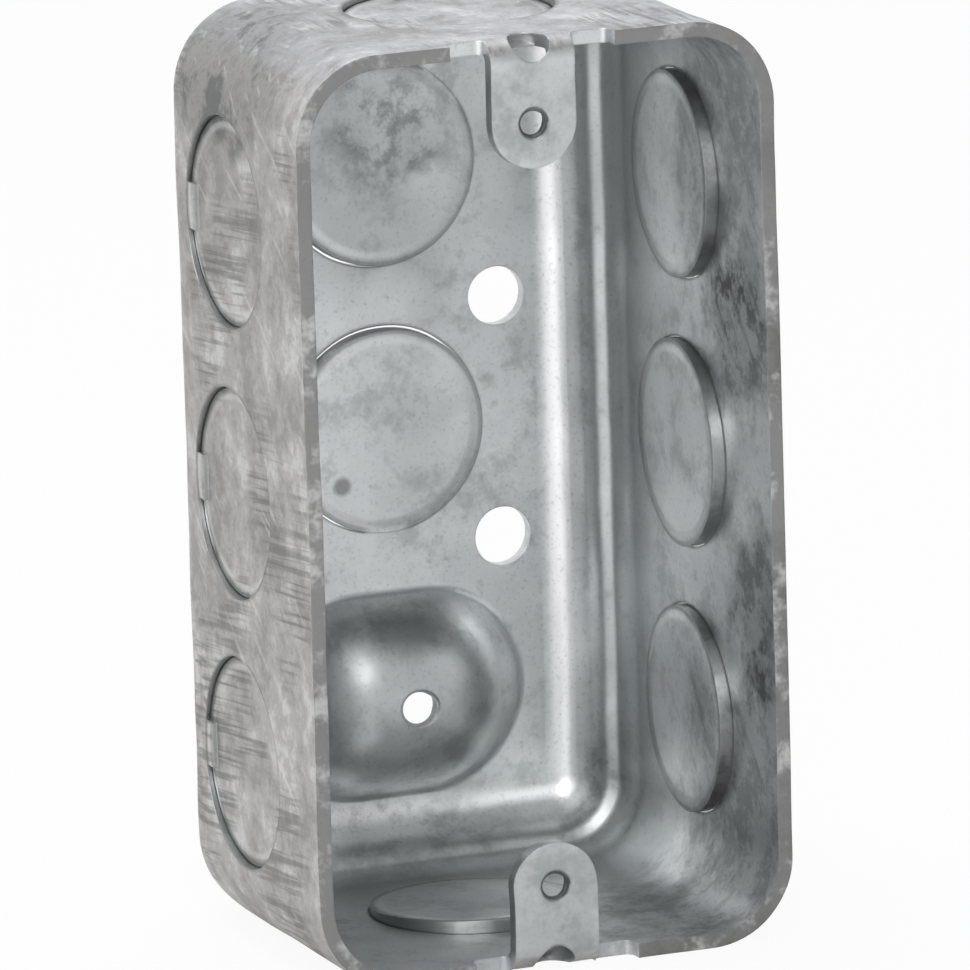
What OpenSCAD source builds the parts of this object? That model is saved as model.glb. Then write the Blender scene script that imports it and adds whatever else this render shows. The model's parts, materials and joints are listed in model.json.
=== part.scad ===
// Drawn steel electrical device box: one pressing with an open front, rounded corners,
// lanced knockouts on every face, a raised grounding boss and two device tabs bent in at the rim.
// Frame: +X right, +Z up, the opening faces -Y. The origin is midway between the two device holes,
// in the plane of the rim. The modules draw the box from the back's outer face, and box() moves it.

/* [Body] */
// Height over the outside of the end walls
body_h = 101.6; // [90:0.1:116]
// Width over the outside of the side walls
body_w = 55.6; // [55:0.1:62]
// Depth from the rim to the outer face of the back
body_d = 47.6; // [47:0.1:56]
// Thickness of the steel sheet
sheet_t = 1.6; // [1.2:0.05:1.8]
// Outer radius of the four upright corners
corner_r = 9.5; // [8.5:0.1:9.6]
// Inner bend radius at each edge of the draw step round the back
step_bend_r = 4.5; // [3:0.1:5.5]

/* [Knockouts] */
// Diameter of a knockout slug
slug_d = 22.8; // [18:0.1:22.9]
// Width of the slit sheared round a slug
slit_w = 0.2; // [0.15:0.01:0.3]
// Distance from the back's outer face to the centre of the wall knockouts
wall_ko_depth = 24.2; // [23:0.1:25.5]
// Distance from the outside of an end wall to the nearest row of knockouts
ko_end_gap = 21; // [20.8:0.1:21.8]
// Least clear steel between two rows of knockouts
ko_row_gap = 6; // [5:0.1:6.9]
// Width of the web that holds a slug
web_w = 5; // [3:0.1:7]
// How far the web runs in under its slug
web_reach = 2.2; // [1.5:0.1:4]
// How far a slug stands in at its web
lift_at_web = 0.5; // [0.2:0.05:0.8]
// How far a slug stands in at the side away from its web
lift_far = 1.45; // [1:0.05:1.6]
// Turn of the top back knockout's web from straight up, towards the mounting holes
top_web_turn = 20; // [0:1:60]

/* [Mounting holes] */
// Diameter of the two mounting holes in the back
back_hole_d = 6.6; // [4:0.1:7.5]
// Distance from the middle of the boss up to the lower mounting hole
back_hole_rise = 16.3; // [14:0.1:18]
// Distance of the mounting holes from the centre line
back_hole_x = 13.8; // [13.6:0.1:14.2]

/* [Grounding boss] */
// Height of the boss over the inner face of the back
boss_h = 8.6; // [6:0.1:10]
// Size of the boss across the box
boss_w = 32.6; // [28:0.1:34.5]
// Size of the boss up the box
boss_l = 24.6; // [22:0.1:24.8]
// Blend radius where the boss leaves the back
boss_blend_r = 1.2; // [0.6:0.1:1.6]
// Diameter of the tapped grounding hole
ground_hole_d = 4.2; // [3:0.1:5]

/* [Device tabs] */
// Distance from the outside of an end wall to its tapped device hole
device_inset = 9.13; // [8.8:0.01:10.8]
// Diameter of a tapped device hole
device_hole_d = 3.2; // [2.6:0.1:3.8]
// Width of a device tab, and of its half-round end
tab_w = 9.7; // [7.5:0.1:11]
// Inner radius of the bend that joins a tab to its end wall
tab_bend_r = 0.9; // [0.5:0.1:1.6]
// Width of each relief notch beside a tab
relief_w = 4.6; // [3:0.1:5.5]
// Depth of the relief notches below the rim
relief_d = 2.2; // [1.5:0.1:3]
// Corner radius at the foot of a relief notch
relief_r = 1; // [0.5:0.1:1.2]
// Diameter of the hole punched through the middle of each bend
bend_hole_d = 4.6; // [3:0.1:5.5]
// Offset of the bend hole towards the end wall
bend_hole_shift = 0.7; // [0:0.1:1.2]
// Width of the lead-in at the mouth of a tapped hole
tap_lead = 0.25; // [0.1:0.05:0.35]

/* [Hidden] */
$fn = 96;
zinc = [0.70, 0.73, 0.74];
past = 1;
half_w = body_w / 2;
half_h = body_h / 2;
// Straight runs between the corner centres
flat_w = body_w - 2 * corner_r;
flat_h = body_h - 2 * corner_r;
// The draw step: a bend, a slope at 45 degrees and a second bend, ending at the corner centre
step_run = corner_r - step_bend_r - sheet_t;
// Knockout slugs
slug_r = slug_d / 2;
slug_tilt = asin((lift_far - lift_at_web) / slug_d);
// Rows of knockouts: as many as fit between the two end rows
end_row = half_h - ko_end_gap;
row_steps = max(1, floor(2 * end_row / (slug_d + ko_row_gap)));
row_pitch = 2 * end_row / row_steps;
wall_rows = [for (i = [0:row_steps]) i * row_pitch - end_row];
// Grounding boss: a crown arc and a hollow blend arc that meets the back at a shallow angle
boss_z = wall_rows[0];
boss_r = boss_l / 2;
boss_reach = (boss_w - boss_l) / 2;
blend_sink = boss_blend_r / 16;
blend_y = boss_blend_r - blend_sink;
crown_r = (boss_r * boss_r + (boss_h - blend_y) * (boss_h - blend_y) - boss_blend_r * boss_blend_r)
    / (2 * (boss_h - blend_y + boss_blend_r));
crown_y = boss_h - crown_r;
// Device tabs
tab_r = tab_w / 2;
tab_bend_out = tab_bend_r + sheet_t;
tab_hole_z = half_h - device_inset;

// Area inside one face of the sheet at a corner. X runs outward from the corner centre and Y
// forward from the back. inset is 0 for the outer face and the sheet thickness for the inner one.
module corner_area(inset) {
    reach = corner_r - inset;
    bend = step_bend_r + sheet_t - inset;
    turn = bend * sin(45);
    low_y = step_bend_r + sheet_t;
    high_y = low_y + step_run;
    intersection() {
        square([reach, body_d + inset]);
        union() {
            polygon([
                [0, inset], [turn, low_y - turn], [step_run + turn, high_y - turn],
                [reach, high_y], [reach, body_d + inset], [0, body_d + inset]
            ]);
            translate([0, low_y]) circle(bend);
            translate([step_run, high_y]) circle(bend);
        }
    }
}

// Section of the drawn wall, from the flat of the back to the rim
module wall_section() {
    difference() {
        corner_area(0);
        corner_area(sheet_t);
    }
}

// One straight wall of the given length, standing out along X from its corner centres
module straight_wall(length) {
    translate([0, 0, -length / 2]) linear_extrude(length) mirror([0, 1]) wall_section();
}

module drawn_shell() {
    translate([-flat_w / 2, -sheet_t, -flat_h / 2]) cube([flat_w, sheet_t, flat_h]);
    for (side = [0, 1]) {
        mirror([side, 0, 0]) translate([flat_w / 2, 0, 0]) straight_wall(flat_h);
        mirror([0, 0, side]) translate([0, 0, flat_h / 2]) rotate([0, -90, 0]) straight_wall(flat_w);
        for (end = [0, 1])
            mirror([side, 0, 0]) mirror([0, 0, end]) translate([flat_w / 2, 0, flat_h / 2])
                rotate([90, 0, 0]) rotate_extrude(angle = 90) wall_section();
    }
}

// Places a child at every knockout. There Z points into the box from the sheet's outer face,
// and X points to the web.
module at_knockouts() {
    for (side = [-1, 1])
        for (z = wall_rows)
            translate([side * half_w, -wall_ko_depth, z]) rotate([90, 0, -side * 90])
                rotate([0, 0, side > 0 ? 180 : 0]) children();
    translate([0, -wall_ko_depth, half_h]) rotate([180, 0, 0]) rotate([0, 0, -90]) children();
    translate([0, -wall_ko_depth, -half_h]) rotate([0, 0, 90]) children();
    // The back has a knockout in every row but the boss's, and the top one's web is turned
    for (i = [1:row_steps])
        translate([0, 0, wall_rows[i]]) rotate([90, 0, 0])
            rotate([0, 0, i == row_steps ? 90 - top_web_turn : -90]) children();
}

// What the lance shears away round a slug, all but the web
module knockout_slit() {
    difference() {
        translate([0, 0, -past]) cylinder(r = slug_r + slit_w, h = sheet_t + 2 * past);
        translate([slug_r - web_reach, -web_w / 2, -2 * past])
            cube([web_reach + slit_w + past, web_w, sheet_t + 4 * past]);
    }
}

// The slug, pushed in and tilted about its web
module knockout_slug() {
    translate([slug_r, 0, lift_at_web]) rotate([0, slug_tilt, 0]) translate([-slug_r, 0, 0])
        cylinder(r = slug_r, h = sheet_t);
}

// Half section of the boss under one face of the sheet. X is the radius and Y the height over the
// inner face of the back. inset is 0 for the inner face of the box and sheet_t for the hollow.
module boss_area(inset) {
    share = (crown_r - inset) / (crown_r + boss_blend_r);
    join = [boss_r * share, crown_y + (blend_y - crown_y) * share];
    intersection() {
        translate([0, -sheet_t - inset]) square([boss_r, boss_h + sheet_t + inset]);
        union() {
            translate([0, crown_y]) circle(crown_r - inset);
            difference() {
                polygon([[0, -sheet_t - inset], [boss_r, -sheet_t - inset], [boss_r, join[1]], join, [0, join[1]]]);
                translate([boss_r, blend_y]) circle(boss_blend_r + inset);
            }
        }
    }
}

// The boss as a solid: a straight middle between two half-round ends
module boss_solid(inset) {
    translate([0, -sheet_t, boss_z]) rotate([90, 0, 0]) {
        translate([-boss_reach, 0, 0]) rotate([90, 0, 90]) linear_extrude(2 * boss_reach)
            for (side = [0, 1]) mirror([side, 0]) boss_area(inset);
        for (side = [0, 1]) mirror([side, 0, 0]) translate([boss_reach, 0, 0]) rotate([0, 0, -90])
            rotate_extrude(angle = 180) boss_area(inset);
    }
}

// Outline of one relief notch, from the tab's edge outward, its open side on the rim
module relief_outline() {
    translate([0, -past]) square([relief_w, relief_d - relief_r + past]);
    translate([relief_r, 0]) square([relief_w - 2 * relief_r, relief_d]);
    for (x = [relief_r, relief_w - relief_r]) translate([x, relief_d - relief_r]) circle(relief_r);
}

// What is cut from the top wall at the rim for one tab and its reliefs
module tab_cut() {
    translate([0, -body_d, half_h - sheet_t - past]) linear_extrude(sheet_t + 2 * past) {
        translate([-tab_r, -past]) square([tab_w, tab_bend_out + past]);
        for (side = [0, 1]) mirror([side, 0]) translate([tab_r, 0]) relief_outline();
    }
}

// The top tab with its bend, its bend hole and its tapped hole
module device_tab() {
    bend_z = half_h - tab_bend_out;
    difference() {
        union() {
            translate([0, sheet_t - body_d, 0]) rotate([90, 0, 0]) linear_extrude(sheet_t) {
                translate([0, tab_hole_z]) circle(tab_r);
                translate([-tab_r, tab_hole_z]) square([tab_w, bend_z - tab_hole_z]);
            }
            translate([-tab_r, tab_bend_out - body_d, bend_z]) rotate([90, 0, 90]) linear_extrude(tab_w)
                intersection() {
                    difference() {
                        circle(tab_bend_out);
                        circle(tab_bend_r);
                    }
                    translate([-tab_bend_out - past, 0]) square([tab_bend_out + past, tab_bend_out + past]);
                }
        }
        tapped_hole(device_hole_d, -body_d, tab_hole_z);
    }
}

// A hole for the middle of the bend, bored at 45 degrees through the fold
module bend_hole() {
    translate([0, tab_bend_out + bend_hole_shift - body_d, half_h - tab_bend_out]) rotate([45, 0, 0])
        cylinder(d = bend_hole_d, h = 2 * tab_bend_out + past);
}

// A hole along Y whose mouth lies in the plane y = face_y, with a small lead-in
module tapped_hole(d, face_y, z) {
    translate([0, face_y + sheet_t + past, z]) rotate([90, 0, 0]) cylinder(d = d, h = sheet_t + 2 * past);
    translate([0, face_y + tap_lead, z]) rotate([90, 0, 0])
        cylinder(d1 = d, d2 = d + 4 * tap_lead, h = 2 * tap_lead);
}

module mounting_holes() {
    for (side = [-1, 1])
        translate([back_hole_x, past, side * (boss_z + back_hole_rise)]) rotate([90, 0, 0])
            cylinder(d = back_hole_d, h = sheet_t + 2 * past);
}

module box() {
    color(zinc) translate([0, body_d, 0]) difference() {
        union() {
            difference() {
                union() {
                    drawn_shell();
                    boss_solid(0);
                }
                boss_solid(sheet_t);
                at_knockouts() knockout_slit();
                for (end = [0, 1]) mirror([0, 0, end]) tab_cut();
            }
            at_knockouts() knockout_slug();
            for (end = [0, 1]) mirror([0, 0, end]) device_tab();
        }
        for (end = [0, 1]) mirror([0, 0, end]) bend_hole();
        mounting_holes();
        tapped_hole(ground_hole_d, -sheet_t - boss_h, boss_z);
    }
}

box();
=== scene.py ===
"""Dresses a drawn steel device box: the pressed sheet as it really lies, its threads and its weathered zinc with
painted shade and highlights.
"""
import json
import math

import bmesh
import bpy
import numpy as np
from mathutils import Matrix, Vector


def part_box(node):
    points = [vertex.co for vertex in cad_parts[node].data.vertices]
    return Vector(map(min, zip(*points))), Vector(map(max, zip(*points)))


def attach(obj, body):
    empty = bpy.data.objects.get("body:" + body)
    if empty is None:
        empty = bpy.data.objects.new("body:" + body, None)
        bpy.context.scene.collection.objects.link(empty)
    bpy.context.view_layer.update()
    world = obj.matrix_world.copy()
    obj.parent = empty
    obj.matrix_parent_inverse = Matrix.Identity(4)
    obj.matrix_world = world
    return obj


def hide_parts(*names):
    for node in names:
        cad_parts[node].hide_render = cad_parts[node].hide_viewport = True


bl_info = {
    "name": "Drawn device box",
    "version": (1, 0, 0),
    "blender": (4, 5, 0),
    "location": "3D View > Sidebar > Device box",
    "description": "Builds the sheet, the threads, the zinc finish and the studio of a drawn device box",
    "category": "Object",
}

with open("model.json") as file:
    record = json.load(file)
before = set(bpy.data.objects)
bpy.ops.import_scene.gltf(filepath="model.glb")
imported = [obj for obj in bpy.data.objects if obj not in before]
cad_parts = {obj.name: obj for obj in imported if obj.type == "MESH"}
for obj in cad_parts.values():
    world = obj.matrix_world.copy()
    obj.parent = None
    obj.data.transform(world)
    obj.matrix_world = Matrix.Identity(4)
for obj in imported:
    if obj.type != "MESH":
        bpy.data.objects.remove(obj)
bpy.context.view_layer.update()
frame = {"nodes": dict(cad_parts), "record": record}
NODE = "box"
LOW, HIGH = (np.array(corner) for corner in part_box(NODE))
MOUNTS = {mount["name"]: mount for mount in frame["record"]["mounts"]}
MM = 0.001
SPLIT_ROUNDS = 7
# Where the slits in the left wall open a little and catch the light, in millimetres
SLIT_GLINTS = [(-27, 33.2, z) for z in (24.0, -5.8, -35.6)]

# The photograph's frame: the size of the image, the focal length and the optical centre in pixels
PHOTO_SIZE = 970
FOCAL_PX = 14232.0
CENTRE_PX = (484.5, 487.0)


# Settings

class BoxShape(bpy.types.PropertyGroup):
    """Sizes of the sheet and of its small departures from the drawing"""
    sheet: bpy.props.FloatProperty(
        name="Sheet", description="Thickness of the steel", default=1.6 * MM, unit="LENGTH")
    corner: bpy.props.FloatProperty(
        name="Corner", description="Outer radius of the upright corners", default=9.5 * MM, unit="LENGTH")
    step_bend: bpy.props.FloatProperty(
        name="Step bend", description="Inner bend radius of the draw step", default=4.5 * MM, unit="LENGTH")
    mesh_step: bpy.props.FloatProperty(
        name="Mesh step", description="Longest edge of the mesh", default=3.2 * MM, unit="LENGTH")
    fine_step: bpy.props.FloatProperty(
        name="Fine step", description="Longest edge on the draw step", default=0.9 * MM, unit="LENGTH")
    ledge: bpy.props.FloatProperty(
        name="Ledge", description="Height of the ridge that the second draw left on the step",
        default=0.3 * MM, unit="LENGTH")
    wave: bpy.props.FloatProperty(
        name="Wave", description="Height of the slow waves in the sheet", default=0.045 * MM, unit="LENGTH")
    ripple: bpy.props.FloatProperty(
        name="Ripple", description="Height of the short ripples in the sheet", default=0.012 * MM,
        unit="LENGTH")
    lean_rim: bpy.props.FloatProperty(
        name="Lean at the rim", description="How far the left wall stands in at the rim",
        default=0.55 * MM, unit="LENGTH")
    lean_back: bpy.props.FloatProperty(
        name="Lean at the back", description="How far the left wall stands in at the back",
        default=1.75 * MM, unit="LENGTH")
    dome_drop: bpy.props.FloatProperty(
        name="Dome drop", description="How far the boss falls off 10 mm from its middle",
        default=1.3 * MM, unit="LENGTH")
    lean_bend: bpy.props.FloatProperty(
        name="Lean bend", description="How far the left wall turns in just before the back",
        default=0.5 * MM, unit="LENGTH")
    edge_round: bpy.props.FloatProperty(
        name="Edge rounding", description="Radius of the rounding along cut edges", default=0.3 * MM,
        unit="LENGTH")
    thread_pitch: bpy.props.FloatProperty(
        name="Thread pitch", description="Pitch of the tapped threads", default=0.79 * MM, unit="LENGTH")
    thread_depth: bpy.props.FloatProperty(
        name="Thread depth", description="How far a thread stands in", default=0.3 * MM, unit="LENGTH")
    ground_hole: bpy.props.FloatProperty(
        name="Ground hole", description="Diameter of the tapped grounding hole", default=4.2 * MM,
        unit="LENGTH")


class ZincFinish(bpy.types.PropertyGroup):
    """Colours of the zinc"""
    inside: bpy.props.FloatVectorProperty(
        name="Inside", description="Zinc inside the box", subtype="COLOR", default=(0.68, 0.70, 0.71))
    bloom: bpy.props.FloatVectorProperty(
        name="Bloom", description="Pale bloom on the zinc", subtype="COLOR", default=(0.84, 0.85, 0.845))
    # Dull patches in the zinc; the same colour is also painted as shade over the boss and beyond the draw step
    shade: bpy.props.FloatVectorProperty(
        name="Shade", description="Dull patches in the zinc", subtype="COLOR", default=(0.40, 0.425, 0.43))
    side: bpy.props.FloatVectorProperty(
        name="Side", description="Rubbed zinc on the outer walls", subtype="COLOR",
        default=(0.50, 0.485, 0.47))
    top: bpy.props.FloatVectorProperty(
        name="Top", description="Zinc on the outside of the top wall", subtype="COLOR",
        default=(0.52, 0.515, 0.54))
    dull: bpy.props.FloatVectorProperty(
        name="Dull", description="Brown-grey stains on the outer walls", subtype="COLOR",
        default=(0.30, 0.285, 0.27))
    # Dark smudges; the same colour is also painted as shade on the boss and in the knockout gaps
    smudge_and_shade: bpy.props.FloatVectorProperty(
        name="Smudge", description="Dark smudges", subtype="COLOR", default=(0.15, 0.155, 0.15))
    edge: bpy.props.FloatVectorProperty(
        name="Edge", description="Sheared steel along the rim", subtype="COLOR",
        default=(0.20, 0.195, 0.19))
    # Painted highlight: a near-white colour laid along the first bend of the draw step
    bend_highlight: bpy.props.FloatVectorProperty(
        name="Polished", description="Zinc that the draw polished", subtype="COLOR",
        default=(0.96, 0.965, 0.97))
    # Bright bare metal on rubbed edges; the same colour is also painted as highlight on the knockout edges and
    # along rounded edges
    bare_and_highlight: bpy.props.FloatVectorProperty(
        name="Bare", description="Bright metal on rubbed edges", subtype="COLOR",
        default=(0.85, 0.85, 0.84))


class StudioSettings(bpy.types.PropertyGroup):
    """Camera, lamps and floor"""
    camera_place: bpy.props.FloatVectorProperty(
        name="Camera place", description="Where the camera stands", subtype="XYZ",
        default=(-0.5658, -1.3715, 0.3248))
    yaw: bpy.props.FloatProperty(
        name="Yaw", description="Turn of the view to the right of straight in", subtype="ANGLE",
        default=math.radians(22.17))
    pitch: bpy.props.FloatProperty(
        name="Pitch", description="Tilt of the view upward", subtype="ANGLE", default=math.radians(-12.26))
    roll: bpy.props.FloatProperty(
        name="Roll", description="Roll of the camera about its own axis", subtype="ANGLE",
        default=math.radians(-1.70))
    front: bpy.props.FloatProperty(
        name="Front light", description="Strength of the room in front of the box", default=0.42)
    floor_reach: bpy.props.FloatProperty(
        name="Floor reach", description="Half the width of the floor", default=6.0, unit="LENGTH")
    floor_white: bpy.props.FloatProperty(
        name="Floor white", description="Share of plain white in the floor as the camera sees it",
        default=0.93)
    behind: bpy.props.FloatProperty(
        name="Back light", description="Strength of the room behind the box", default=0.62)


# Shader maths

class Val:
    """A shader socket that takes part in ordinary arithmetic."""

    def __init__(self, graph, socket):
        self.graph = graph
        self.socket = socket

    def __add__(self, other):
        return self.graph.maths("ADD", self, other)

    def __radd__(self, other):
        return self.graph.maths("ADD", other, self)

    def __sub__(self, other):
        return self.graph.maths("SUBTRACT", self, other)

    def __rsub__(self, other):
        return self.graph.maths("SUBTRACT", other, self)

    def __mul__(self, other):
        return self.graph.maths("MULTIPLY", self, other)

    def __rmul__(self, other):
        return self.graph.maths("MULTIPLY", other, self)

    def step(self, low, high):
        """Goes smoothly from 0 at low to 1 at high, which may be the smaller of the two."""
        if low > high:
            return 1.0 - self.step(high, low)
        return self.graph.node(
            "ShaderNodeMapRange", {"interpolation_type": "SMOOTHSTEP"},
            {"Value": self, "From Min": low, "From Max": high})


class Graph:
    """Writes the nodes of one material or world."""

    def __init__(self, owner):
        owner.use_nodes = True
        self.tree = owner.node_tree
        self.tree.nodes.clear()

    def node(self, kind, settings=None, values=None, output=0):
        """Adds a node: its settings first, then its sockets' values or links."""
        made = self.tree.nodes.new(kind)
        for key, value in (settings or {}).items():
            setattr(made, key, value)
        for key, value in (values or {}).items():
            if isinstance(value, Val):
                self.tree.links.new(value.socket, made.inputs[key])
            else:
                made.inputs[key].default_value = value
        return Val(self, made.outputs[output]) if len(made.outputs) else made

    def maths(self, operation, first, second):
        return self.node("ShaderNodeMath", {"operation": operation}, {0: first, 1: second})

    def vector(self, operation, first, second, output=0):
        return self.node("ShaderNodeVectorMath", {"operation": operation}, {0: first, 1: second}, output)

    def mix(self, share, first, second):
        """A colour that goes from first to second as share goes from 0 to 1."""
        plain = [value if isinstance(value, Val) else (*value, 1.0) for value in (first, second)]
        return self.node(
            "ShaderNodeMix", {"data_type": "RGBA"}, {0: share, 6: plain[0], 7: plain[1]}, output=2)

    def noise(self, place, scale, detail=4.0, roughness=0.55, distortion=0.0):
        return self.node(
            "ShaderNodeTexNoise", {},
            {"Vector": place, "Scale": scale, "Detail": detail, "Roughness": roughness,
             "Distortion": distortion})

    def strokes(self, place, turn, across, along):
        """Noise drawn out along one line, with across and along strokes a metre. turn holds the angles
        in degrees that bring that line onto Z."""
        turned = self.node(
            "ShaderNodeVectorRotate", {"rotation_type": "EULER_XYZ"},
            {"Vector": place, "Rotation": tuple(math.radians(angle) for angle in turn)})
        return self.noise(self.vector("MULTIPLY", turned, (across, across, along)), 1.0, 2.0, 0.6)

    def patch(self, place, centre, size, ragged=0.0):
        """1 at a centre in millimetres, falling to 0 at size from it, with a ragged outline."""
        shifted = self.vector("SUBTRACT", place, tuple(c * MM for c in centre))
        scaled = self.vector("DIVIDE", shifted, tuple(s * MM for s in size))
        return (self.vector("LENGTH", scaled, (0, 0, 0), output=1) + ragged).step(1.0, 0.45)


def knockout_reach(graph, place):
    """How far a place lies from the middle of the nearest knockout."""
    spans = [graph.vector("DISTANCE", place, tuple(mount["pos_m"]), output=1)
             for name, mount in MOUNTS.items() if "knockout" in name]
    nearest = spans[0]
    for span in spans[1:]:
        nearest = graph.maths("MINIMUM", nearest, span)
    return nearest


def zinc_material(shape, finish):
    """Weathered zinc on drawn steel: mottled and smudged inside, rubbed and scratched outside, with painted shade
    and painted highlights.
    """
    material = bpy.data.materials.new("zinc_steel_dressed")
    graph = Graph(material)
    place = graph.node("ShaderNodeTexCoord", output="Object")
    outside = graph.node("ShaderNodeAttribute", {"attribute_name": "outside"}, output="Fac")
    rim = graph.node("ShaderNodeAttribute", {"attribute_name": "rim"}, output="Fac")
    bend = graph.node("ShaderNodeAttribute", {"attribute_name": "bend"}, output="Fac")
    tuck = graph.node("ShaderNodeAttribute", {"attribute_name": "tuck"}, output="Fac")
    inside = 1.0 - outside
    facing = graph.node("ShaderNodeTexCoord", output="Normal")
    facing_up = graph.node("ShaderNodeSeparateXYZ", {}, {0: facing}, output="Z")
    facing_back = graph.node("ShaderNodeSeparateXYZ", {}, {0: facing}, output="Y")

    # Noise at four sizes, from hand-sized clouds to grain
    cloud = graph.noise(place, 34.0, 3.0, 0.6)
    mottle = graph.noise(place, 95.0, 4.0, 0.68)
    fleck = graph.noise(place, 420.0, 3.0, 0.6)
    grain = graph.noise(place, 2300.0, 2.0, 0.5)
    ragged = (mottle - 0.5) * 1.6

    # Rubs along the depth of the box on its outer walls, in clusters
    rubs = graph.strokes(place, (95, 0, 0), 1250.0, 34.0).step(0.46, 0.62)
    rubbed = graph.noise(place, 48.0, 2.0, 0.5).step(0.47, 0.58)
    rub = rubs * rubbed * outside * facing_back.step(0.6, 0.15)
    slants = graph.strokes(place, (55, 0, 0), 700.0, 60.0).step(0.62, 0.72) * outside
    stain = graph.noise(place, 140.0, 4.0, 0.76)

    # Smudges and strokes where hands and tools went, darker patches along the bottom bend and in the lower inner
    # corner, and painted shade over the boss
    smear = graph.noise(place, 240.0, 4.0, 0.75).step(0.44, 0.60)
    rim_corner = graph.patch(place, (24, 6, -42), (26, 26, 26), ragged)
    upper_rim = graph.patch(place, (27, 9, 36), (18, 17, 22), ragged)
    side_marks = graph.patch(place, (27, 7, 14), (9, 11, 11), ragged)
    low_marks = graph.patch(place, (27, 5, -14), (9, 9, 12), ragged)
    handled = (rim_corner * 0.7 + upper_rim * 0.55 + side_marks * 0.9 + low_marks * 0.9) * inside
    top_corner = graph.patch(place, (-25, 24, 46), (16, 20, 13), ragged) * outside
    slug_smudge = graph.patch(place, (1, 45, 33), (9, 6, 10), ragged) * inside
    slug_spot = graph.patch(place, (-5.3, 45, -5.8), (1.4, 3, 1.4)) * inside
    # Painted shade: the boss darkened as a whole and darker still on its upper flank
    boss_top_shade = graph.patch(place, (-2, 38, -20), (14, 8, 5), ragged * 0.6) * inside
    boss = graph.patch(place, (0, 37, -30), (24, 9.5, 18), ragged * 0.4) * inside
    low_bend = graph.patch(place, (-4, 43, -45), (26, 8, 6), ragged)
    pocket = graph.patch(place, (21, 40, -42), (7, 8, 7), ragged)
    scores = graph.strokes(place, (38, 0, 0), 520.0, 60.0).step(0.56, 0.66)

    # Each knockout has a painted highlight on its rounded edge inside a band of painted shade along its gap
    reach = knockout_reach(graph, place)
    joined = 1.0 - graph.patch(place, (0, 45, -12), (3.4, 5, 4)) - graph.patch(place, (8.3, 45, 38), (4, 5, 4))
    gap = reach.step(11.0 * MM, 11.4 * MM) * reach.step(12.1 * MM, 11.6 * MM) * joined
    edge = reach.step(9.9 * MM, 10.5 * MM) * reach.step(11.1 * MM, 10.7 * MM) * joined
    rounding = reach.step(11.4 * MM, 10.0 * MM)

    colour = graph.mix(mottle.step(0.42, 0.72) * 0.7, finish.inside, finish.bloom)
    colour = graph.mix(cloud.step(0.48, 0.70) * 0.5, colour, finish.shade)
    colour = graph.mix(stain.step(0.50, 0.66) * 0.6, colour, finish.shade)
    shell = graph.mix(facing_up.step(0.5, 0.95), finish.side, finish.top)
    shell = graph.mix(stain.step(0.50, 0.66) * 0.5, shell, finish.bloom)
    shell = graph.mix(stain.step(0.52, 0.36) * 0.65, shell, finish.dull)
    colour = graph.mix(outside, colour, shell)
    colour = graph.mix(fleck.step(0.60, 0.74) * 0.35, colour, finish.shade)
    colour = graph.mix(handled * (0.35 + smear * 0.5), colour, finish.smudge_and_shade)
    colour = graph.mix(top_corner * (0.2 + stain.step(0.42, 0.6) * 0.7), colour, finish.smudge_and_shade)
    colour = graph.mix(slug_smudge * (0.12 + smear * 0.5), colour, finish.smudge_and_shade)
    colour = graph.mix(slug_spot * 0.7, colour, finish.smudge_and_shade)
    # Painted shade over the boss and on its upper flank
    colour = graph.mix(boss * 0.35, colour, finish.shade)
    colour = graph.mix(boss_top_shade * 0.6, colour, finish.smudge_and_shade)
    # Painted shade on the wall just beyond the draw step
    colour = graph.mix(tuck * 0.6, colour, finish.shade)
    # Painted highlight along the first bend of the draw step
    colour = graph.mix(bend * 0.9, colour, finish.bend_highlight)
    colour = graph.mix(handled * scores * 0.4, colour, finish.smudge_and_shade)
    colour = graph.mix((low_bend * 0.5 + pocket * 0.6) * (0.25 + smear * 0.6), colour, finish.smudge_and_shade)
    # Painted shade along the gap around each knockout
    colour = graph.mix(gap * 0.55, colour, finish.smudge_and_shade)
    # Painted highlight on the rounded edge of each knockout
    colour = graph.mix(edge * 0.45, colour, finish.bare_and_highlight)
    colour = graph.mix(rub * 0.6, colour, finish.smudge_and_shade)
    # Painted glints: white painted on the outer wall where the slits open
    for low_edge in SLIT_GLINTS:
        colour = graph.mix(graph.patch(place, low_edge, (3, 4.2, 3.6)) * gap * outside, colour, (1, 1, 1))
    colour = graph.mix(slants * 0.3, colour, finish.bare_and_highlight)
    colour = graph.mix(grain.step(0.54, 0.76) * 0.22, colour, finish.smudge_and_shade)
    tabs = graph.patch(graph.vector("ABSOLUTE", place, (0, 0, 0)), (0, 1, 43), (9, 3, 10))
    colour = graph.mix(tabs * (0.45 + stain.step(0.40, 0.60) * 0.5), colour, finish.shade)
    colour = graph.mix(rim * 0.85, colour, finish.edge)
    colour = graph.mix(rim * stain.step(0.50, 0.66) * 0.5, colour, finish.bare_and_highlight)

    rounded = graph.node("ShaderNodeBevel", {"samples": 2}, {"Radius": shape.edge_round})
    true_normal = graph.node("ShaderNodeNewGeometry", output="Normal")
    # Lighter along rounded edges: partly real edge wear, partly painted highlight
    edge_wear_glint = graph.vector("DOT_PRODUCT", rounded, true_normal, output=1).step(0.97, 0.80)
    colour = graph.mix(edge_wear_glint * mottle.step(0.35, 0.65) * 0.35, colour, finish.bare_and_highlight)

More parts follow.
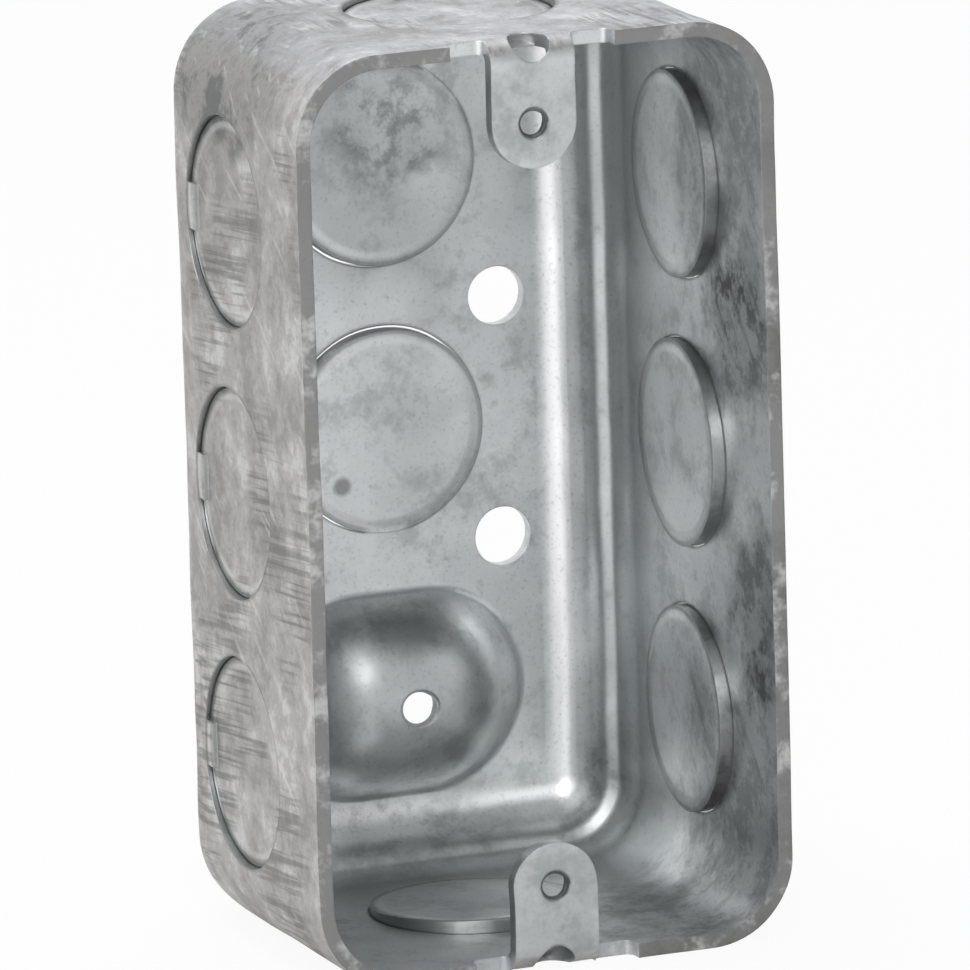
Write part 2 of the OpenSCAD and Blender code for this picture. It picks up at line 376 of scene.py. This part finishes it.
    rough = 0.29 + boss * 0.07 + mottle * 0.14 + cloud.step(0.45, 0.75) * 0.08 + outside * 0.12 + handled * 0.14 \
        - edge_wear_glint * 0.08
    height = mottle * 0.9 + stain * 0.5 + fleck * 0.25 + rounding * 2.6
    normal = graph.node(
        "ShaderNodeBump", {},
        {"Strength": 0.55, "Distance": 0.13 * MM, "Height": height, "Normal": rounded})
    surface = graph.node(
        "ShaderNodeBsdfPrincipled", {},
        {"Base Color": colour, "Metallic": 0.95, "Roughness": rough, "Normal": normal})
    graph.node("ShaderNodeOutputMaterial", {}, {"Surface": surface})
    return material


# The sheet as it really lies

def smooth(values, low, high):
    """Goes smoothly from 0 at low to 1 at high."""
    share = np.clip((values - low) / (high - low), 0, 1)
    return share * share * (3 - 2 * share)


def profile_places(points, shape):
    """How far each point lies out from the flat of the back and forward of it, and which way is out."""
    flat_w = HIGH[0] - shape.corner
    flat_h = HIGH[2] - shape.corner
    out = np.zeros_like(points)
    out[:, 0] = np.sign(points[:, 0]) * np.maximum(np.abs(points[:, 0]) - flat_w, 0)
    out[:, 2] = np.sign(points[:, 2]) * np.maximum(np.abs(points[:, 2]) - flat_h, 0)
    reach = np.linalg.norm(out, axis=1)
    out /= np.maximum(reach, 1e-9)[:, None]
    return reach, HIGH[1] - points[:, 1], out


class SheetForm:
    """Where the real sheet lies against the drawing: its waves, its leaning wall and the draw ledge."""

    def __init__(self, shape, seed=7):
        self.shape = shape
        source = np.random.default_rng(seed)
        self.waves = []
        for count, low, high, height in ((14, 16, 48, shape.wave), (16, 5, 11, shape.ripple)):
            for _ in range(count):
                along, push = source.normal(size=(2, 3))
                along *= 2 * math.pi / (source.uniform(low, high) * MM) / np.linalg.norm(along)
                push *= height * source.uniform(0.3, 1.0) / np.linalg.norm(push)
                self.waves.append((along, push, source.uniform(0, 2 * math.pi)))

    def shift(self, points):
        """How far each point moves."""
        moved = np.zeros_like(points)
        for along, push, phase in self.waves:
            moved += np.sin(points @ along + phase)[:, None] * push
        moved[:, 0] += self.lean(points)
        moved[:, 1] += self.dome(points)
        moved += self.ledge(points)
        return moved

    def dome(self, points):
        """The boss falls away from its middle towards both sides."""
        boss = MOUNTS["ground_screw"]["pos_m"]
        aside = np.abs(points[:, 0] - boss[0])
        share = smooth(HIGH[1] - points[:, 1], self.shape.sheet + 0.3 * MM, self.shape.sheet + 3 * MM)
        share *= smooth(-aside, -17 * MM, -11 * MM) * smooth(-np.abs(points[:, 2] - boss[2]), -13 * MM, -11 * MM)
        return share * self.shape.dome_drop * (aside / (10 * MM)) ** 2

    def lean(self, points):
        """The left wall stands in, a little at the rim and more towards the back."""
        depth = (points[:, 1] - LOW[1]) / (HIGH[1] - LOW[1])
        share = smooth(-points[:, 0], 10 * MM, -LOW[0] - 4 * MM)
        return share * (self.shape.lean_rim + (self.shape.lean_back - self.shape.lean_rim) * depth
                        + self.shape.lean_bend * smooth(depth, 0.7, 0.88))

    def ledge(self, points):
        """The ridge along the upper part of the draw step."""
        shape = self.shape
        reach, forward, out = profile_places(points, shape)
        start_out = shape.step_bend * math.sin(math.radians(45))
        start_forward = shape.sheet + shape.step_bend * (1 - math.cos(math.radians(45)))
        along = ((reach - start_out) + (forward - start_forward)) / math.sqrt(2)
        rise = smooth(along, 1.6 * MM, 3.5 * MM) * (1 - smooth(along, 3.5 * MM, 5.2 * MM))
        rise *= smooth(reach, 1.0 * MM, 2.6 * MM) * shape.ledge / math.sqrt(2)
        pushed = -out * rise[:, None]
        pushed[:, 1] -= rise
        return pushed

    def turn(self, points, normals, probe=0.02 * MM):
        """The normals of the moved sheet, from how the shift changes along each axis."""
        turned = normals.copy()
        for axis in range(3):
            aside = np.zeros(3)
            aside[axis] = probe
            change = (self.shift(points + aside) - self.shift(points - aside)) / (2 * probe)
            turned[:, axis] -= np.sum(change * normals, axis=1)
        return turned / np.linalg.norm(turned, axis=1)[:, None]


def loop_vectors(mesh):
    """The normal at each face corner."""
    found = np.zeros(len(mesh.loops) * 3, np.float32)
    mesh.corner_normals.foreach_get("vector", found)
    return found.reshape(-1, 3)


def long_edges(mesh, shape):
    """The edges longer than their part of the sheet allows."""
    found = []
    for edge in mesh.edges:
        middle = (edge.verts[0].co + edge.verts[1].co) / 2
        out_x = max(abs(middle.x) - (HIGH[0] - shape.corner), 0)
        out_z = max(abs(middle.z) - (HIGH[2] - shape.corner), 0)
        on_step = math.hypot(out_x, out_z) > 2.5 * MM and HIGH[1] - middle.y < 8 * MM
        if edge.calc_length() > (shape.fine_step * 1.6 if on_step else shape.mesh_step):
            found.append(edge)
    return found


def split_mesh(node, shape):
    """A copy of a node's mesh with its long edges split, and its corner normals as an array."""
    source = node.data.copy()
    normals = loop_vectors(source)
    for name, first, second in (("normal_xy", 0, 1), ("normal_z", 2, 2)):
        layer = source.uv_layers.new(name=name)
        layer.uv.foreach_set("vector", normals[:, [first, second]].ravel())
    work = bmesh.new()
    work.from_mesh(source)
    bmesh.ops.remove_doubles(work, verts=work.verts[:], dist=1e-7)
    for _ in range(SPLIT_ROUNDS):
        bmesh.ops.subdivide_edges(work, edges=long_edges(work, shape), cuts=1)
        bmesh.ops.triangulate(work, faces=[face for face in work.faces if len(face.verts) > 3])
    mesh = bpy.data.meshes.new("pressed_shell")
    work.to_mesh(mesh)
    work.free()
    mesh.validate()
    bpy.data.meshes.remove(source)
    pairs = []
    for name in ("normal_xy", "normal_z"):
        values = np.zeros(len(mesh.loops) * 2, np.float32)
        mesh.uv_layers[name].uv.foreach_get("vector", values)
        pairs.append(values.reshape(-1, 2).astype(float))
        mesh.uv_layers.remove(mesh.uv_layers[name])
    return mesh, np.column_stack([pairs[0], pairs[1][:, :1]])


def surface_masks(points, normals, shape):
    """Which face corners lie on the outside of the sheet, on the cut edge of the rim, on the bend that
    the draw step starts with, where a highlight is painted, and on the wall beyond the step, where shade is
    painted."""
    reach, forward, out = profile_places(points, shape)
    outward = out * (reach / shape.corner)[:, None]
    outward[:, 1] += np.clip(1 - forward / shape.corner, 0, 1)
    outside = smooth(np.sum(outward * normals, axis=1), 0.2, 0.45)
    behind = smooth(normals[:, 1], 0.15, 0.4) * (forward < 20 * MM) * (reach == 0)
    outside = np.maximum(outside, behind)
    inner = (1 - outside) * (forward > shape.sheet * 0.9) * (reach > 0)
    # Where a highlight is painted on the first bend of the draw step
    bend = smooth(reach, 0.2 * MM, 1.5 * MM) * smooth(-reach, -4.6 * MM, -3.4 * MM) \
        * smooth(-forward, -9 * MM, -7 * MM)
    # Where shade is painted on the wall beyond the step
    tuck = smooth(reach, 4.6 * MM, 5.6 * MM) * smooth(-forward, -24 * MM, -9 * MM)
    at_rim = (points[:, 1] - LOW[1] < 0.03 * MM) & (normals[:, 1] < -0.9) \
        & (reach > shape.corner - shape.sheet * 1.05)
    return {"outside": outside, "rim": at_rim.astype(float), "bend": bend * inner, "tuck": tuck * inner}


def pressed_sheet(shape):
    """The mesh of the pressed shell, moved to where the real sheet lies."""
    mesh, normals = split_mesh(frame["nodes"][NODE], shape)
    form = SheetForm(shape)
    points = np.zeros(len(mesh.vertices) * 3)
    mesh.vertices.foreach_get("co", points)
    points = points.reshape(-1, 3)
    corner_vertex = np.zeros(len(mesh.loops), np.int32)
    mesh.loops.foreach_get("vertex_index", corner_vertex)
    corners = points[corner_vertex]
    for name, values in surface_masks(corners, normals, shape).items():
        mesh.attributes.new(name, "FLOAT", "CORNER").data.foreach_set("value", values.astype(np.float32))
    mesh.vertices.foreach_set("co", np.clip(points + form.shift(points), LOW, HIGH).ravel())
    mesh.polygons.foreach_set("use_smooth", np.ones(len(mesh.polygons), bool))
    mesh.normals_split_custom_set(form.turn(corners, normals).tolist())
    mesh.update()
    return mesh


def thread_mesh(name, radius, start, length, pitch, depth):
    """A thread in a hole along Y: a ridge wound from start over length, standing in by depth."""
    mesh = bpy.data.meshes.new(name)
    work = bmesh.new()
    steps = 40
    rows = []
    for i in range(int(steps * length / pitch) + 1):
        angle = 2 * math.pi * i / steps
        along = start[1] + pitch * i / steps
        fade = min(1.0, i / 6, (int(steps * length / pitch) - i) / 6)
        row = []
        for offset, inward in ((-0.42, -0.15), (0.0, fade), (0.42, -0.15)):
            reach = radius - depth * inward
            row.append(work.verts.new((
                start[0] + reach * math.cos(angle),
                along + pitch * offset,
                start[2] + reach * math.sin(angle))))
        rows.append(row)
    for here, there in zip(rows, rows[1:]):
        for i in (0, 1):
            work.faces.new((here[i], there[i], there[i + 1], here[i + 1]))
    bmesh.ops.recalc_face_normals(work, faces=work.faces[:])
    work.to_mesh(mesh)
    work.free()
    mesh.polygons.foreach_set("use_smooth", np.ones(len(mesh.polygons), bool))
    return mesh


def add_piece(scene, name, mesh, material):
    """Puts a piece into the scene on the box's body, with the zinc slot."""
    piece = bpy.data.objects.new(name, mesh)
    scene.collection.objects.link(piece)
    mesh.materials.append(material)
    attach(piece, "root")
    return piece


class DEVICEBOX_OT_shell(bpy.types.Operator):
    """Builds the pressed shell with its zinc finish"""
    bl_idname = "devicebox.shell"
    bl_label = "Shell"

    def execute(self, context):
        scene = context.scene
        material = zinc_material(scene.box_shape, scene.zinc_finish)
        shell = add_piece(scene, "pressed_shell", pressed_sheet(scene.box_shape), material)
        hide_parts(NODE)
        return {"FINISHED"}


class DEVICEBOX_OT_threads(bpy.types.Operator):
    """Builds the threads of the two device holes and of the grounding hole"""
    bl_idname = "devicebox.threads"
    bl_label = "Threads"

    def execute(self, context):
        scene = context.scene
        shape = scene.box_shape
        device = MOUNTS["device_screws"]["dims"]
        ground = MOUNTS["ground_screw"]["pos_m"]
        rise = device["spacing_y_mm"] / 2 * MM
        holes = {
            "device_thread_top": ((0, 0, rise), device["hole_r_mm"] * MM),
            "device_thread_bottom": ((0, 0, -rise), device["hole_r_mm"] * MM),
            "ground_thread": (ground, shape.ground_hole / 2),
        }
        material = bpy.data.materials["zinc_steel_dressed"]
        inset = shape.thread_pitch * 0.45
        for name, (mouth, radius) in holes.items():
            start = (mouth[0], mouth[1] + inset, mouth[2])
            mesh = thread_mesh(
                name, radius, start, shape.sheet - 2 * inset, shape.thread_pitch, shape.thread_depth)
            add_piece(scene, name, mesh, material)
        return {"FINISHED"}


# Studio

def softbox(scene, name, place, size, power):
    """A rectangular area lamp that faces the box."""
    lamp = bpy.data.lights.new(name, "AREA")
    lamp.shape = "RECTANGLE"
    lamp.size, lamp.size_y = size
    lamp.energy = power
    thing = bpy.data.objects.new(name, lamp)
    thing.location = place
    thing.rotation_euler = (-Vector(place)).to_track_quat("-Z", "Y").to_euler()
    scene.collection.objects.link(thing)


def seen_rays(graph):
    """Whether a ray comes from the camera, from a reflection or through something clear."""
    rays = graph.tree.nodes.new("ShaderNodeLightPath")
    return [Val(graph, rays.outputs[name])
            for name in ("Is Camera Ray", "Is Glossy Ray", "Is Transmission Ray")]


def pale_floor(scene, settings):
    """A plain pale floor under the box. The camera sees it as nearly white, with the box's shadow."""
    material = bpy.data.materials.new("pale_floor")
    graph = Graph(material)
    seen, glossy, through = seen_rays(graph)
    shown = graph.maths("MAXIMUM", seen, through)
    paint = graph.node("ShaderNodeBsdfDiffuse", {}, {"Color": (0.8, 0.8, 0.8, 1)})
    white = graph.node("ShaderNodeEmission", {}, {"Color": (1, 1, 1, 1), "Strength": 1.0})
    surface = graph.node(
        "ShaderNodeMixShader", {}, {0: shown * settings.floor_white + glossy * 0.25, 1: paint, 2: white})
    graph.node("ShaderNodeOutputMaterial", {}, {"Surface": surface})
    mesh = bpy.data.meshes.new("floor")
    reach, level = settings.floor_reach, float(LOW[2])
    mesh.from_pydata(
        [(-reach, -reach, level), (reach, -reach, level), (reach, reach, level), (-reach, reach, level)],
        [], [(0, 1, 2, 3)])
    mesh.materials.append(material)
    floor = bpy.data.objects.new("floor", mesh)
    scene.collection.objects.link(floor)


def studio_world(scene, settings):
    """A pale room, brighter behind the box and overhead. The camera sees it as plain white."""
    world = bpy.data.worlds.new("studio")
    scene.world = world
    graph = Graph(world)
    seen, glossy, through = seen_rays(graph)
    way = graph.node("ShaderNodeTexCoord", output="Generated")
    back = graph.node("ShaderNodeSeparateXYZ", {}, {0: way}, output="Y").step(-0.25, 0.45)
    up = graph.node("ShaderNodeSeparateXYZ", {}, {0: way}, output="Z")
    right = graph.node("ShaderNodeSeparateXYZ", {}, {0: way}, output="X").step(-0.6, 0.4)
    front = settings.front * (right * 0.6 + 0.6)
    strength = front + back * (settings.behind + glossy * (0.92 - settings.behind) - front) + up * 0.12
    room = graph.node("ShaderNodeBackground", {}, {"Color": (0.97, 0.985, 1, 1), "Strength": strength})
    white = graph.node("ShaderNodeBackground", {}, {"Color": (1, 1, 1, 1), "Strength": 1.0})
    both = graph.node("ShaderNodeMixShader", {}, {0: graph.maths("MAXIMUM", seen, through), 1: room, 2: white})
    graph.node("ShaderNodeOutputWorld", {}, {"Surface": both})


def view_matrix(settings):
    """The camera looks along +Y turned right by the yaw and up by the pitch, then rolls on its axis."""
    ahead = Vector((
        math.sin(settings.yaw) * math.cos(settings.pitch),
        math.cos(settings.yaw) * math.cos(settings.pitch),
        math.sin(settings.pitch)))
    level = Vector((math.cos(settings.yaw), -math.sin(settings.yaw), 0))
    above = level.cross(ahead)
    right = level * math.cos(settings.roll) + above * math.sin(settings.roll)
    up = above * math.cos(settings.roll) - level * math.sin(settings.roll)
    turn = Matrix((right, up, -ahead)).transposed().to_4x4()
    return Matrix.Translation(Vector(settings.camera_place)) @ turn


class DEVICEBOX_OT_studio(bpy.types.Operator):
    """Builds the room, the lamps and the camera"""
    bl_idname = "devicebox.studio"
    bl_label = "Studio"

    def execute(self, context):
        scene = context.scene
        settings = scene.studio
        scene.view_settings.view_transform = "Standard"
        studio_world(scene, settings)
        pale_floor(scene, settings)
        softbox(scene, "key", (-0.42, -1.0, 0.62), (0.55, 0.55), 4.4)
        softbox(scene, "left_front", (-0.76, -0.97, -0.10), (0.55, 1.2), 6.0)
        softbox(scene, "right_front", (0.50, -1.08, -0.26), (0.7, 0.7), 1.2)
        softbox(scene, "overhead", (-0.15, 0.15, 1.1), (0.7, 0.7), 5.6)
        lens = bpy.data.cameras.new("camera")
        lens.sensor_width = 36.0
        lens.lens = FOCAL_PX / PHOTO_SIZE * lens.sensor_width
        lens.shift_x = (PHOTO_SIZE / 2 - CENTRE_PX[0]) / PHOTO_SIZE
        lens.shift_y = (CENTRE_PX[1] - PHOTO_SIZE / 2) / PHOTO_SIZE
        camera = bpy.data.objects.new("camera", lens)
        camera.matrix_world = view_matrix(settings)
        scene.collection.objects.link(camera)
        scene.camera = camera
        return {"FINISHED"}


class DEVICEBOX_PT_panel(bpy.types.Panel):
    """Buttons for the pieces and the studio"""
    bl_label = "Device box"
    bl_space_type = "VIEW_3D"
    bl_region_type = "UI"
    bl_category = "Device box"

    def draw(self, context):
        for name in ("shell", "threads", "studio"):
            self.layout.operator("devicebox." + name)


SETTINGS = {"box_shape": BoxShape, "zinc_finish": ZincFinish, "studio": StudioSettings}
CLASSES = (*SETTINGS.values(), DEVICEBOX_OT_shell, DEVICEBOX_OT_threads, DEVICEBOX_OT_studio,
           DEVICEBOX_PT_panel)


def register():
    for each in CLASSES:
        bpy.utils.register_class(each)
    for name, kind in SETTINGS.items():
        setattr(bpy.types.Scene, name, bpy.props.PointerProperty(type=kind))


def unregister():
    for name in SETTINGS:
        delattr(bpy.types.Scene, name)
    for each in reversed(CLASSES):
        bpy.utils.unregister_class(each)


def main():
    register()
    bpy.ops.devicebox.shell()
    bpy.ops.devicebox.threads()
    bpy.ops.devicebox.studio()


if __name__ == "__main__":
    main()
